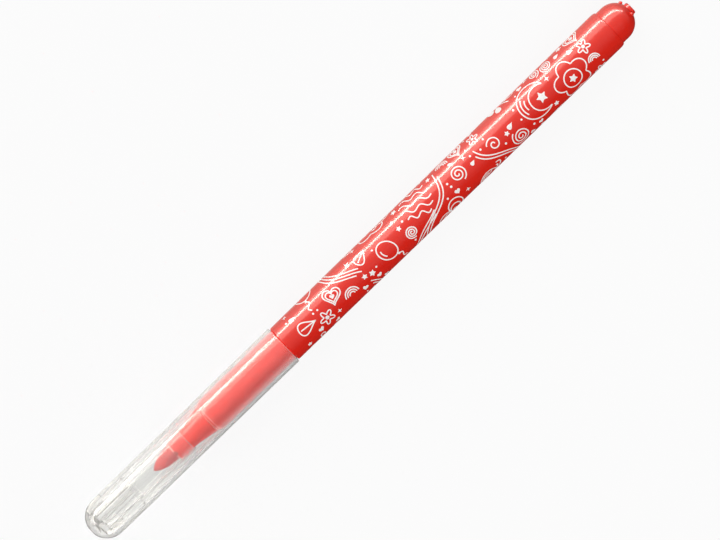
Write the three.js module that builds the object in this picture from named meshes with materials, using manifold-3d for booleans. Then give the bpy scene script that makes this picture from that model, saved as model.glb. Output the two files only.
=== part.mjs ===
// A slim felt-tip pen with its clear ventilated cap on, lying on its side.
// The pen's axis is +X, from the closed end of the cap to the rear plug, and +Z is up.
// The origin is on the surface that the pen lies on, under the middle of its length.
// Lengths are in millimetres. While a piece is made, x = 0 is the barrel's front lip.

import * as THREE from "three";
import { mergeVertices } from "three/addons/utils/BufferGeometryUtils.js";
import Module from "manifold-3d";

const wasm = await Module();
wasm.setup();

// Facets round the pen and round its small features, and steps in a quarter of a circle.
const sides = 48;
const smallSides = 12;
const quarterSteps = 6;

// Clearances between pieces: side by side, and end to end.
const pressClearance = 0.05;
const seatGap = 0.05;

// Barrel: a drafted tube with a narrower neck in front of its lip.
const barrelLength = 90.5;
const barrelDraft = 0.22;
const barrelWall = 0.85;
const lipHeight = 0.4;
const lipRound = 0.35;
const rearRound = 0.45;
const rearRoundLength = 1.1;
const neckLength = 21.5;
const neckRadius = 3.8;
const neckWall = 0.8;
const neckChamferLength = 1.35;
const neckChamferDepth = 0.55;
const snapBeadHeight = 0.05;
const snapBeadWidth = 0.8;
const snapBeadFromLip = 3.0;
const boreStepFromLip = 1.2;
const boreStepLength = 1.0;
const barrelRibCount = 6;
const barrelRibWidth = 0.6;
const barrelRibEndGap = 1.0;

// Nib holder: a cone and a nose in front of the neck, and a spigot inside it.
const holderShoulder = 0.2;
const coneLength = 5.05;
const coneBlend = 16;
const noseLength = 4.4;
const noseWall = 0.48;
const noseRound = 0.4;
const noseRimFlat = 0.08;
const holderSpigotLength = 9;
const holderSpigotWall = 0.6;
const nibGripLength = 12.5;
const airGrooveCount = 3;
const airGrooveWidth = 0.7;
const airGrooveDepth = 0.26;
const airGrooveTurn = THREE.MathUtils.degToRad(20);
const airNotchRadius = 0.42;
const airNotchDepth = 0.6;

// Nib: a bullet point on a round rod of bonded fibre.
const nibRadius = 1.72;
const nibExposed = 5.4;
const bulletLength = 5.0;
const bulletFullness = 0.7;
const nibTailDepth = 5;
const nibTailChamfer = 0.5;

// Ink reservoir: a fibre core in a film sleeve.
const filmClearance = 0.2;
const barrelRibClearance = 0.1;
const filmThickness = 0.1;
const coreClearance = 0.03;
const reservoirGap = 0.3;
const pocketEndClearance = 0.2;

// Rear plug: a domed head, and a hollow spigot inside the barrel.
const plugStep = 0.39;
const plugStraight = 1.5;
const plugWall = 0.8;
const plugSpigotLength = 6;
const plugGrooveCount = 2;
const plugGrooveWidth = 0.7;
const plugGrooveDepth = 0.15;
const plugGroovePitch = 1.9;
const endDiscRadius = 1.35;
const endDiscHeight = 0.42;
const pipCount = 3;
const pipRadius = 0.42;
const pipTopRadius = 0.34;
const pipProud = 0.35;
const pipCircleRadius = 2.05;

// Cap: a drafted shell with a domed end, and a sealing sleeve inside it for the nose.
const nibRoom = 5.65;
const capFit = 0.08;
const capDraft = 0.002;
const capWall = 0.57;
const capMouthGap = 0.1;
const capMouthRound = 0.15;
const ventSectionLength = 11.6;
const sleeveOverNose = 3.7;
const sleeveFit = 0.08;
const sleeveWall = 0.32;
const sleeveLeadIn = 0.16;
const sleeveEndStep = 0.38;
const sleeveShoulder = 0.6;
const endWall = 3.05;
const ventCount = 4;
const ventRibWidth = 0.9;
const ventWallStep = 0.17;
const ventEndFromTip = 3.1;
const windowWidth = 2.6;
const windowNearTip = 2.2;
const windowLength = 4.1;
const ventTurn = THREE.MathUtils.degToRad(30);
const dimpleRadius = 1.1;
const dimpleDepth = 0.7;
const restCutDepth = 1;

// How far cutting tools and joining ribs run past the face that they meet.
const overrun = 0.2;

// Sizes that follow from the ones above.
const neckBore = neckRadius - neckWall;
const barrelFrontRadius = neckRadius + lipHeight;
const barrelRearRadius = barrelFrontRadius + barrelDraft;
const frontBore = barrelFrontRadius - barrelWall;
const rearBore = barrelRearRadius - barrelWall;
const filmRadius = neckBore - filmClearance;
const coreRadius = filmRadius - filmThickness - coreClearance;
const barrelRibRadius = filmRadius + barrelRibClearance;

const nibBore = nibRadius + pressClearance;
const noseRadius = nibBore + noseWall;
const coneEndX = -neckLength - seatGap;
const coneFrontX = coneEndX - coneLength;
const noseFaceX = coneFrontX - noseLength;
const nibTipX = noseFaceX - nibExposed;
const holderSpigotRadius = neckBore - pressClearance;
const holderSpigotBore = holderSpigotRadius - holderSpigotWall;
const holderRearX = coneEndX + holderSpigotLength;

const reservoirFrontX = holderRearX + reservoirGap;
const nibTailX = reservoirFrontX + nibTailDepth;

const plugHeadRadius = barrelRearRadius - plugStep;
const plugSeatX = barrelLength + seatGap;
const plugDomeX = plugSeatX + plugStraight;
const plugEndX = plugDomeX + plugHeadRadius + endDiscHeight;
const plugSpigotRadius = rearBore - pressClearance;
const plugSpigotBore = plugSpigotRadius - plugWall;
const plugFrontX = plugSeatX - plugSpigotLength;
const reservoirRearX = plugFrontX - reservoirGap;

const capMouthX = -capMouthGap;
const webX = nibTipX - nibRoom;
const capTipX = webX - ventSectionLength;
const sleeveRimX = noseFaceX + sleeveOverNose;
const capBoreAt = (x) => neckRadius + capFit + capDraft * (x + neckLength);
const capRadiusAt = (x) => capBoreAt(x) + capWall;
const capMouthRadius = capRadiusAt(capMouthX);
const capDomeRadius = capRadiusAt(capTipX);
const capDomeX = capTipX + capDomeRadius;
const sleeveBore = noseRadius + sleeveFit;
const sleeveRadius = sleeveBore + sleeveWall;
const sleeveEndBore = sleeveBore - sleeveEndStep;
const sleeveEndRadius = sleeveRadius - sleeveEndStep;
const dimpleAngle = Math.asin(dimpleRadius / capDomeRadius);
const capEndX = capDomeX - capDomeRadius * Math.cos(dimpleAngle);

// The pen lies level on the lowest facet of the barrel's rear and on the cap's flat.
const axisHeight = barrelRearRadius * Math.cos(Math.PI / sides);
const middleX = (capEndX + plugEndX) / 2;

// Points [x, radius] of an arc about [x, radius], from one angle to another. 0 points along +X.
// A stretch other than 1 makes it longer or shorter along the pen than across it.
function arc(centreX, centreRadius, radius, fromDegrees, toDegrees, stretch = 1) {
  const turn = THREE.MathUtils.degToRad(toDegrees - fromDegrees);
  const steps = Math.max(2, Math.round((Math.abs(turn) / (Math.PI / 2)) * quarterSteps));
  return Array.from({ length: steps + 1 }, (_, i) => {
    const angle = THREE.MathUtils.degToRad(fromDegrees) + (turn * i) / steps;
    return [
      centreX + stretch * radius * Math.cos(angle),
      centreRadius + radius * Math.sin(angle),
    ];
  });
}

// A geometry turned about the pen's axis. The outline runs towards +X on the outside.
function turned(outline) {
  const profile = outline.map(([x, radius]) => new THREE.Vector2(Math.max(radius, 0), x));
  return new THREE.LatheGeometry(profile, sides, Math.PI / sides).rotateZ(-Math.PI / 2);
}

// A turned geometry whose outline closes on itself, so that it has a bore right through.
function turnedTube(outline) {
  return turned([...outline, outline[0]]);
}

// A bar along the pen's axis: from one x to another, from one radius to another, of a width.
// It lies at the top of the pen, turned about the axis towards -Y.
function bar(fromX, toX, fromRadius, toRadius, width, turn) {
  return new THREE.BoxGeometry(toX - fromX, width, toRadius - fromRadius)
    .translate((fromX + toX) / 2, 0, (fromRadius + toRadius) / 2)
    .rotateX(turn);
}

// Angles of a number of like features spaced evenly round the axis.
function around(count, start) {
  return Array.from({ length: count }, (_, i) => start + (i * 2 * Math.PI) / count);
}

// A three.js geometry as a manifold solid, and back again.
function toSolid(geometry) {
  const bare = geometry.clone().deleteAttribute("normal").deleteAttribute("uv");
  const merged = mergeVertices(bare, 1e-4);
  return new wasm.Manifold(
    new wasm.Mesh({
      numProp: 3,
      vertProperties: merged.attributes.position.array,
      triVerts: new Uint32Array(merged.index.array),
    }),
  );
}

function toGeometry(solid) {
  const mesh = solid.getMesh();
  return new THREE.BufferGeometry()
    .setAttribute("position", new THREE.BufferAttribute(mesh.vertProperties, 3))
    .setIndex(new THREE.BufferAttribute(mesh.triVerts, 1));
}

function join(geometry, additions) {
  return toGeometry(additions.reduce((sum, g) => sum.add(toSolid(g)), toSolid(geometry)));
}

function cut(geometry, tools) {
  return toGeometry(tools.reduce((rest, g) => rest.subtract(toSolid(g)), toSolid(geometry)));
}

// Barrel and neck in one moulding, with ribs that hold the reservoir clear of the wall.
function barrelGeometry() {
  const lip = Math.min(lipRound, lipHeight);
  const boreStepX = boreStepFromLip + boreStepLength;
  const beadX = -snapBeadFromLip;
  const shell = turnedTube([
    [-neckLength, neckBore],
    [-neckLength, neckRadius - neckChamferDepth],
    [-neckLength + neckChamferLength, neckRadius],
    [beadX - snapBeadWidth / 2, neckRadius],
    [beadX, neckRadius + snapBeadHeight],
    [beadX + snapBeadWidth / 2, neckRadius],
    [0, neckRadius],
    ...arc(lip, barrelFrontRadius - lip, lip, 180, 90),
    ...arc(
      barrelLength - rearRoundLength,
      barrelRearRadius - rearRound,
      rearRound,
      90,
      0,
      rearRoundLength / rearRound,
    ),
    [barrelLength, rearBore],
    [boreStepX, frontBore],
    [boreStepFromLip, neckBore],
  ]);
  const ribs = around(barrelRibCount, 0).map((turn) =>
    bar(
      boreStepX,
      plugFrontX - barrelRibEndGap,
      barrelRibRadius,
      frontBore + overrun,
      barrelRibWidth,
      turn,
    ),
  );
  return join(shell, ribs);
}

// Front piece that holds the nib, with grooves along its bore that let air in as ink leaves.
// Each groove opens through a notch in the rim of the nose.
function nibHolderGeometry() {
  const round = Math.min(noseRound, noseWall - noseRimFlat);
  const gripEndX = noseFaceX + nibGripLength;
  const coneEndRadius = neckBore + holderShoulder;
  const coneAngle = Math.atan2(coneEndRadius - noseRadius, coneLength);
  const blendHalf = coneBlend * Math.tan(coneAngle / 2);
  const body = turnedTube([
    [noseFaceX, nibBore],
    ...arc(noseFaceX + round, noseRadius - round, round, 180, 90),
    ...arc(
      coneFrontX - blendHalf,
      noseRadius + coneBlend,
      coneBlend,
      -90,
      -90 + THREE.MathUtils.radToDeg(coneAngle),
    ),
    [coneEndX, coneEndRadius],
    [coneEndX, holderSpigotRadius],
    [holderRearX, holderSpigotRadius],
    [holderRearX, holderSpigotBore],
    [gripEndX + (holderSpigotBore - nibBore), holderSpigotBore],
    [gripEndX, nibBore],
  ]);
  const grooves = around(airGrooveCount, airGrooveTurn).map((turn) =>
    bar(
      noseFaceX - overrun,
      gripEndX + overrun,
      nibBore - overrun,
      nibBore + airGrooveDepth,
      airGrooveWidth,
      turn,
    ),
  );
  const notchLength = 2 * (noseWall + overrun);
  const notches = around(airGrooveCount, airGrooveTurn).map((turn) =>
    new THREE.CylinderGeometry(airNotchRadius, airNotchRadius, notchLength, smallSides)
      .rotateX(Math.PI / 2)
      .translate(noseFaceX + airNotchDepth - airNotchRadius, 0, noseRadius)
      .rotateX(turn),
  );
  return cut(body, [...grooves, ...notches]);
}

// Bullet nib: its point, its rod, and the tail that stands in the reservoir.
function nibGeometry() {
  const pointSteps = 2 * quarterSteps;
  const point = Array.from({ length: pointSteps + 1 }, (_, i) => {
    const along = (i / pointSteps) ** 2;
    return [
      nibTipX + along * bulletLength,
      nibRadius * (1 - (1 - along) ** 2) ** bulletFullness,
    ];
  });
  return turned([
    ...point,
    [nibTailX - nibTailChamfer, nibRadius],
    [nibTailX, nibRadius - nibTailChamfer],
    [nibTailX, 0],
  ]);
}

// Fibre core, with the pocket that the nib's tail has pressed into it.
function reservoirCoreGeometry() {
  const pocketEndX = nibTailX + pocketEndClearance;
  return turned([
    [pocketEndX, 0],
    [pocketEndX, nibBore],
    [reservoirFrontX, nibBore],
    [reservoirFrontX, coreRadius],
    [reservoirRearX, coreRadius],
    [reservoirRearX, 0],
  ]);
}

function reservoirFilmGeometry() {
  return turnedTube([
    [reservoirFrontX, filmRadius - filmThickness],
    [reservoirFrontX, filmRadius],
    [reservoirRearX, filmRadius],
    [reservoirRearX, filmRadius - filmThickness],
  ]);
}

// Rear plug: dome, flat end disc, three pips round it, and the grooved spigot.
function rearPlugGeometry() {
  const hollowRadius = Math.min(plugSpigotBore, plugHeadRadius - plugWall);
  const hollowX = plugDomeX + plugHeadRadius - plugWall - hollowRadius;
  const discAngle = THREE.MathUtils.radToDeg(Math.asin(endDiscRadius / plugHeadRadius));
  const grooves = Array.from({ length: plugGrooveCount }, (_, i) => {
    const x = plugFrontX + (i + 0.5) * plugGroovePitch + plugGrooveWidth / 2;
    const floor = plugSpigotRadius - plugGrooveDepth;
    return [
      [x - plugGrooveDepth, plugSpigotRadius],
      [x, floor],
      [x + plugGrooveWidth, floor],
      [x + plugGrooveWidth + plugGrooveDepth, plugSpigotRadius],
    ];
  }).flat();
  const body = turned([
    [hollowX + hollowRadius, 0],
    ...arc(hollowX, 0, hollowRadius, 0, 90).slice(1),
    [plugFrontX, hollowRadius],
    [plugFrontX, plugSpigotRadius],
    ...grooves,
    [plugSeatX, plugSpigotRadius],
    [plugSeatX, plugHeadRadius],
    ...arc(plugDomeX, 0, plugHeadRadius, 90, discAngle),
    [plugEndX, endDiscRadius],
    [plugEndX, 0],
  ]);
  const pipTilt = Math.asin(pipCircleRadius / plugHeadRadius);
  const pipLength = pipProud + overrun;
  const pips = around(pipCount, -Math.PI / 2).map((turn) =>
    new THREE.CylinderGeometry(pipTopRadius, pipRadius, pipLength, smallSides)
      .translate(0, plugHeadRadius + pipProud - pipLength / 2, 0)
      .rotateZ(-Math.PI / 2)
      .rotateY(-pipTilt)
      .translate(plugDomeX, 0, 0)
      .rotateX(turn),
  );
  return join(body, pips);
}

// One air passage of the cap: the room between two ribs, the sleeve and the outer wall.
function airPassage(turn) {
  const outer = capBoreAt(webX) - ventWallStep;
  const halfTurn = Math.PI / ventCount;
  const shape = new THREE.Shape();
  const innerHalf = halfTurn - Math.asin(ventRibWidth / 2 / sleeveEndRadius);
  const outerHalf = halfTurn - Math.asin(ventRibWidth / 2 / outer);
  shape.absarc(0, 0, outer, -outerHalf, outerHalf, false);
  shape.absarc(0, 0, sleeveEndRadius, innerHalf, -innerHalf, true);
  const fromX = capTipX + ventEndFromTip;
  return new THREE.ExtrudeGeometry(shape, {
    depth: webX + overrun - fromX,
    bevelEnabled: false,
    curveSegments: quarterSteps,
  })
    .rotateY(Math.PI / 2)
    .rotateX(Math.PI)
    .translate(fromX, 0, 0)
    .rotateX(turn);
}

// The room under the cap's shallow flat, which is level with the barrel's rear end.
function belowTheFlat() {
  const length = capMouthX - capTipX + 2 * overrun;
  return new THREE.BoxGeometry(length, 2 * capMouthRadius, restCutDepth).translate(
    (capMouthX + capTipX) / 2,
    0,
    -axisHeight - restCutDepth / 2,
  );
}

// Cap: shell, sealing sleeve, four ribs between them, and the windows that let air through.
function capGeometry() {
  const boreEndX = capTipX + endWall;
  const domeFrom = 180 - THREE.MathUtils.radToDeg(dimpleAngle);
  const round = Math.min(capMouthRound, capWall / 2);
  const body = turned([
    [capEndX + dimpleDepth, 0],
    [capEndX + dimpleDepth, dimpleRadius],
    ...arc(capDomeX, 0, capDomeRadius, domeFrom, 90),
    ...arc(capMouthX - round, capMouthRadius - round, round, 90, 0),
    [capMouthX, capBoreAt(capMouthX)],
    [webX, capBoreAt(webX)],
    [webX, sleeveRadius],
    [sleeveRimX, sleeveRadius],
    [sleeveRimX, sleeveBore + sleeveLeadIn],
    [sleeveRimX - sleeveLeadIn, sleeveBore],
    [webX + sleeveShoulder, sleeveBore],
    [webX + sleeveShoulder, sleeveEndBore],
    [boreEndX, sleeveEndBore],
    [boreEndX, 0],
  ]);
  const turns = around(ventCount, ventTurn);
  const windowX = capTipX + windowNearTip;
  const windowFloor = sleeveEndRadius + overrun;
  const windows = turns.map((turn) =>
    bar(
      windowX,
      windowX + windowLength,
      windowFloor,
      capDomeRadius + overrun,
      windowWidth,
      turn,
    ),
  );
  return cut(body, [...turns.map(airPassage), ...windows, belowTheFlat()]);
}

// Looks of the materials.
const clearPlastic = {
  color: 0xe9eeec,
  roughness: 0.08,
  metalness: 0,
  transparent: true,
  opacity: 0.3,
};

const redPlastic = {
  color: 0xd9201c,
  roughness: 0.22,
  metalness: 0,
};

const nibFibre = {
  color: 0xc8322e,
  roughness: 0.9,
  metalness: 0,
};

const inkFibre = {
  color: 0xa81218,
  roughness: 0.95,
  metalness: 0,
};

const film = {
  color: 0xf2d9d5,
  roughness: 0.3,
  metalness: 0,
};

const pen = new THREE.Group();
pen.position.set(-middleX, 0, axisHeight);

function addPiece(name, geometry, look) {
  const mesh = new THREE.Mesh(geometry, new THREE.MeshStandardMaterial(look));
  mesh.name = name;
  pen.add(mesh);
}

addPiece("barrel", barrelGeometry(), redPlastic);
addPiece("nib_holder", nibHolderGeometry(), redPlastic);
addPiece("nib", nibGeometry(), nibFibre);
addPiece("ink_reservoir_core", reservoirCoreGeometry(), inkFibre);
addPiece("ink_reservoir_film", reservoirFilmGeometry(), film);
addPiece("rear_plug", rearPlugGeometry(), redPlastic);
addPiece("cap", capGeometry(), clearPlastic);

export default pen;
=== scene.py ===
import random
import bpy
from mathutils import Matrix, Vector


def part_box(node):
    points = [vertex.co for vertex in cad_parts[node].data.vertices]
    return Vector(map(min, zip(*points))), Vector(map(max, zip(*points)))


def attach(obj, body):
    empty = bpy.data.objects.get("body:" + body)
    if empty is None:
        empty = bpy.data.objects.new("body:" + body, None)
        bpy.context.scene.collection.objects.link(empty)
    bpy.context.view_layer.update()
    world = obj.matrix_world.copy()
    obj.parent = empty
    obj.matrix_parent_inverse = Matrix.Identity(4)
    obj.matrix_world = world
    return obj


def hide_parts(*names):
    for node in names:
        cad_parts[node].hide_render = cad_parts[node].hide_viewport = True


bl_info = {
    "name": "Felt-tip pen",
    "version": (1, 0, 0),
    "blender": (4, 5, 0),
    "location": "3D View > Sidebar > Felt-tip pen",
    "description": "Makes the pieces of a capped felt-tip pen and the studio it lies in",
    "category": "Add Mesh",
}

from math import asin, atan2, cos, degrees, hypot, pi, radians, sin, sqrt

import bmesh
import bpy
from bpy.props import FloatProperty, FloatVectorProperty, IntProperty, PointerProperty
from mathutils import Matrix, Vector

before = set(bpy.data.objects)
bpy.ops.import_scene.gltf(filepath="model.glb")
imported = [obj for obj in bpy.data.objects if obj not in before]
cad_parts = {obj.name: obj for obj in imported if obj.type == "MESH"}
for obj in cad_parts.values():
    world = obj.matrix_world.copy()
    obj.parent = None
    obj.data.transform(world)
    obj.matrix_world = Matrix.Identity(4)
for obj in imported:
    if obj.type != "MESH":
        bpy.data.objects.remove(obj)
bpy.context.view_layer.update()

# All lengths are in metres. MM turns millimetres into them.
MM = 0.001

# The CAD solids have 48 flat sides. A round piece that fits inside them is smaller by this much.
ROUND_FIT = cos(pi / 48)

# Roundings of edges that have no setting.
CRISP = 0.03 * MM
FINE = 0.06 * MM
SOFT = 0.1 * MM
BROAD = 0.2 * MM

# How far a shape that cuts or joins another goes past its surface.
PAST = 0.2 * MM

# Room at the seat of the nib holder.
SEAM = 0.05 * MM

# Edges that bend by more than this are shaded sharp.
SHARP_ANGLE = radians(30)

# Half the length over which one finish turns into another.
BLEND = 0.05 * MM

# The cap's inner faces are nearer to its axis than this. Only they get the painted shade where they
# are seen edge-on.
CAP_INSIDE = 4.2 * MM

# The pen's axis is as high as the middle of its rear plug.
AXIS_HEIGHT = (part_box("rear_plug")[0].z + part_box("rear_plug")[1].z) / 2

# Where each piece starts and ends along the pen.
NECK_FRONT, BARREL_REAR = (corner.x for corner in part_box("barrel"))
NOSE_FACE, HOLDER_REAR = (corner.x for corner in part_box("nib_holder"))
NIB_TIP, NIB_TAIL = (corner.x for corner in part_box("nib"))
PLUG_FRONT, PLUG_END = (corner.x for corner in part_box("rear_plug"))
CAP_END, CAP_MOUTH = (corner.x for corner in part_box("cap"))


def setting(make, convert=None, **fixed):
    """A short form of a property. convert turns a value into its unit."""

    def described(value, description):
        default = convert(value) if convert else value
        return lambda name: make(name=name, description=description, default=default, **fixed)

    return described


def named(group):
    """Gives each setting of a group its name, which is its key in plain words."""
    for key, make in group.__annotations__.items():
        group.__annotations__[key] = make(key.replace("_", " ").capitalize())
    return group


length = setting(FloatProperty, lambda millimetres: millimetres * MM, precision=5, unit="LENGTH")
turn = setting(FloatProperty, radians, unit="ROTATION")
share = setting(FloatProperty, min=0.0, max=1.0, subtype="FACTOR")
amount = setting(FloatProperty, min=0.0)
count = setting(IntProperty, min=1)
colour = setting(FloatVectorProperty, size=3, min=0.0, max=1.0, subtype="COLOR")


@named
class BarrelSizes(bpy.types.PropertyGroup):
    steps: count(128, "Flat sides in a full turn")
    neck_length: length(21.5, "From the neck's front to the lip")
    neck_radius: length(3.8, "Outside of the neck")
    neck_bore: length(3.0, "Inside of the neck")
    chamfer_length: length(1.35, "Lead-in at its front, along the pen")
    chamfer_depth: length(0.55, "Lead-in at its front, across the pen")
    bead_from_lip: length(3.0, "Place of the bead under the cap")
    bead_height: length(0.05, "Height of the bead")
    bead_width: length(0.8, "Width of the bead")
    front_radius: length(4.2, "Outside of the barrel's lip")
    rear_radius: length(4.42, "Outside of the barrel's rear")
    lip_round: length(0.35, "Rounding of the lip")
    rear_round: length(0.35, "Rounding of the rear, across the pen")
    rear_round_length: length(1.1, "Rounding of the rear, along the pen")
    wall: length(0.85, "Thickness of the wall")
    bore_start: length(1.2, "From the lip to where the bore widens")
    bore_widening: length(1.0, "Length over which the bore widens")
    ribs: count(6, "Ribs that hold the reservoir")
    rib_width: length(0.6, "Width of a rib")
    rib_radius: length(2.9, "How near the axis the ribs come")
    rib_end: length(1.0, "From the ribs to the rear plug")
    # Painted highlights: two paler rings at the neck's front edges, where the seam with the holder
    # catches the light.
    rubbed: length(0.12, "Width of the neck's rubbed rings")
    rubbed_apart: length(0.55, "Distance between these rings")


@named
class HolderSizes(bpy.types.PropertyGroup):
    steps: count(96, "Flat sides in a full turn")
    nib_bore: length(1.77, "Hole that grips the nib")
    nose_radius: length(2.25, "Outside of the nose")
    nose_round: length(0.36, "Rounding of the nose's rim")
    nose_length: length(4.4, "Nose in front of the cone")
    cone_radius: length(3.2, "Wide end of the cone")
    cone_round: length(0.25, "Rounding of the cone's wide edge")
    cone_foot: length(1.4, "Rounding between nose and cone")
    spigot_radius: length(2.95, "Outside of the spigot")
    spigot_bore: length(2.35, "Inside of the spigot")
    grip_length: length(12.5, "How far in the nib is gripped")
    grooves: count(3, "Air grooves beside the nib")
    groove_width: length(0.7, "Width of a groove")
    groove_depth: length(0.26, "Depth of a groove")
    groove_turn: turn(15, "From the top to the first groove")
    notch_radius: length(0.52, "Radius of a groove's notch in the rim")
    notch_depth: length(0.74, "How far a notch goes back")
    # Painted highlights: paler rings on the nose's rim and on the cone's wide edge.
    rubbed_nose: length(0.34, "Width of the rim's rubbed ring")
    rubbed_cone: length(0.14, "Width of the cone's rubbed ring")


@named
class NibSizes(bpy.types.PropertyGroup):
    steps: count(96, "Flat sides in a full turn")
    rings: count(28, "Rings of faces along the point")
    radius: length(1.72, "Radius of the nib's rod")
    bullet_length: length(5.0, "Length of the point")
    fullness: share(0.7, "Lower is a fuller point")
    tail_chamfer: length(0.5, "Chamfer on the tail")


@named
class PlugSizes(bpy.types.PropertyGroup):
    steps: count(96, "Flat sides in a full turn")
    head_radius: length(4.03, "Radius of the head and its dome")
    straight: length(1.5, "Head before its dome")
    end_wall: length(0.8, "Thickness of the dome's end")
    disc_radius: length(1.35, "Radius of the flat disc on the end")
    spigot_radius: length(3.52, "Outside of the spigot")
    spigot_bore: length(2.72, "Inside of the spigot")
    grooves: count(2, "Sealing grooves round the spigot")
    groove_width: length(0.7, "Width of a sealing groove")
    groove_depth: length(0.15, "Depth of a sealing groove")
    groove_pitch: length(1.9, "Distance between the sealing grooves")
    pips: count(3, "Small pips round the disc")
    pip_radius: length(0.42, "Radius of a pip at its foot")
    pip_top: length(0.34, "Radius of a pip at its top")
    pip_round: length(0.12, "Rounding of a pip's top")
    pip_height: length(0.45, "How proud a pip stands")
    pip_circle: length(2.05, "Radius that the pips stand at")


@named
class CapSizes(bpy.types.PropertyGroup):
    steps: count(128, "Flat sides in a full turn")
    mouth_bore: length(3.923, "Bore at the mouth")
    draft: share(0.002, "How much the bore narrows towards the tip")
    wall: length(0.57, "Thickness of the outer wall")
    mouth_round: length(0.15, "Rounding of the mouth's rim")
    tip_to_web: length(11.6, "From the tip to where passages open")
    tip_beyond_end: length(0.14, "What the dimple takes off the tip")
    end_wall: length(3.05, "From the tip to the sleeve's bore")
    passage_from_tip: length(3.1, "From the tip to the air passages")
    passage_step: length(0.17, "How much thicker the wall is there")
    sleeve_bore: length(2.33, "Inside of the sleeve")
    sleeve_wall: length(0.32, "Thickness of the sleeve")
    sleeve_past_nose: length(3.7, "How far it covers the nose")
    sleeve_step: length(0.38, "How much narrower the sleeve ends")
    sleeve_shoulder: length(0.6, "Length of the shoulder in the step")
    lead_in: length(0.16, "Chamfer in the sleeve's rim")
    seal_bore: length(2.245, "Inside of the sleeve's grip")
    seal_length: length(3.1, "Length of the sleeve's grip")
    seal_slope: length(0.3, "Slope behind the grip")
    ribs: count(4, "Ribs between sleeve and wall")
    rib_width: length(0.9, "Width of a rib")
    window_width: length(2.6, "Width of an air window")
    window_length: length(4.1, "Length of an air window")
    window_from_tip: length(2.2, "From the tip to the windows")
    window_round: length(0.25, "Rounding of the windows' corners")
    window_turn: turn(30, "From the top to the first window")
    dimple_radius: length(1.1, "Radius of the dimple in the tip")
    dimple_depth: length(0.7, "Depth of the dimple in the tip")


@named
class PrintSizes(bpy.types.PropertyGroup):
    seed: count(41, "Chooses the layout")
    start: length(2.9, "From the lip to the print")
    end: length(4.8, "From the print to the rear")
    line: length(0.26, "Width of a printed line")
    streamers: count(7, "Long waving groups of lines")
    streamer_gap: length(0.75, "Distance between their lines")
    proud: length(0.015, "How proud the ink stands")
    sunk: length(0.02, "How deep the ink's underside lies")
    large: length(5.2, "Radius of the largest motifs")
    middle: length(2.6, "Radius of the middle motifs")
    small: length(0.85, "Radius of the filled motifs")
    dot: length(0.26, "Radius of a dot")


@named
class PenColours(bpy.types.PropertyGroup):
    red: colour((0.76, 0.017, 0.007), "Moulded red plastic")
    deep_red: colour((0.71, 0.013, 0.006), "The same plastic, a little darker")
    # Painted light: a slightly paler red for the neck and holder under the clear cap, making up for
    # the light the cap holds back.
    neck_red: colour((0.78, 0.022, 0.01), "Red of the neck and holder")
    neck_polish: share(1.0, "Extra gloss of the neck")
    # Painted highlight: the paler red of the rings on the edges of the neck and holder.
    rubbed: colour((0.95, 0.4, 0.34), "Red where an edge is rubbed")
    clear: colour((0.93, 0.934, 0.932), "Tint of the clear plastic")
    clear_gloss: colour((0.5, 0.49, 0.48), "How it mirrors head-on")
    clear_shadow: colour((0.99, 0.99, 0.99), "Tint of the light it lets by")
    clear_haze: share(0.03, "How much light a clear face scatters")
    edge_veil: share(0.68, "How much it scatters seen edge-on")
    veil: colour((0.9, 0.9, 0.89), "Colour of what it scatters")
    # Painted shade: thin dark lines where the cap's inside is seen edge-on.
    edge_line: share(0.75, "How dark its inside is edge-on")
    shade: colour((0.1, 0.1, 0.095), "Colour of its inside edge-on")
    ink: colour((0.93, 0.92, 0.9), "White printed ink")
    ink_thin: colour((0.9, 0.8, 0.77), "Ink where the red shows")
    nib: colour((0.6, 0.012, 0.01), "Fibre of the nib, soaked with ink")
    nib_wet: colour((0.3, 0.004, 0.005), "The nib where it holds most ink")
    # Painted shade: the darker nib inside the holder, seen through the air notches.
    nib_root: colour((0.5, 0.016, 0.006), "The nib in the air notches")
    reservoir: colour((0.4, 0.008, 0.01), "Fibre of the reservoir")
    film: colour((0.88, 0.66, 0.62), "Film round the reservoir")
    floor: colour((0.44, 0.44, 0.44), "Plain pale floor")


@named
class StudioSettings(bpy.types.PropertyGroup):
    roll: turn(-44.17, "Turn about the line of sight")
    lens: amount(300.0, "Focal length in millimetres")
    view_width: length(143.63, "Width of the view at the pen")
    aim_x: length(-0.314, "Aim along the pen")
    aim_y: length(0.086, "Aim across the pen")
    world: amount(0.4, "Brightness of the room")
    backdrop: amount(1.06, "Brightness that the camera sees")
    floor_seen: share(0.85, "How much of that the floor shows the camera")
    seen_through: share(0.4, "The same behind clear plastic")
    bright_side: amount(2.5, "Brightness of reflections at +Y")
    dark_side: amount(0.05, "Brightness of reflections at -Y")
    warm: colour((1.0, 0.94, 0.85), "Tint of what gloss reflects")
    key: amount(1.72, "Brightness of the large softbox")
    strip: amount(27.0, "Brightness of the long thin strip")
    glow: amount(3.2, "Brightness of each panel round it")
    fill: amount(1.6, "Brightness of the fill light")


# Modelling.


def pairs(items, closed=True):
    """Each item with the one after it."""
    return zip(items, items[1:] + items[:1] if closed else items[1:])


def around(number, start=0.0):
    """Evenly spaced angles of a full turn."""
    return [start + 2 * pi * i / number for i in range(number)]


def arc(centre, radii, start, end, steps):
    """Points of a round or oval arc. Angles are in degrees, and 0 points along +X."""
    angles = [radians(start + (end - start) * i / steps) for i in range(steps + 1)]
    return [(centre[0] + radii[0] * cos(a), centre[1] + radii[1] * sin(a)) for a in angles]


def rounded(bm, corners, size, kind="EDGES"):
    bmesh.ops.bevel(
        bm, geom=corners, offset=size, offset_type="OFFSET", segments=4, profile=0.5,
        affect=kind, material=-1, clamp_overlap=False,
    )


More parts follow.
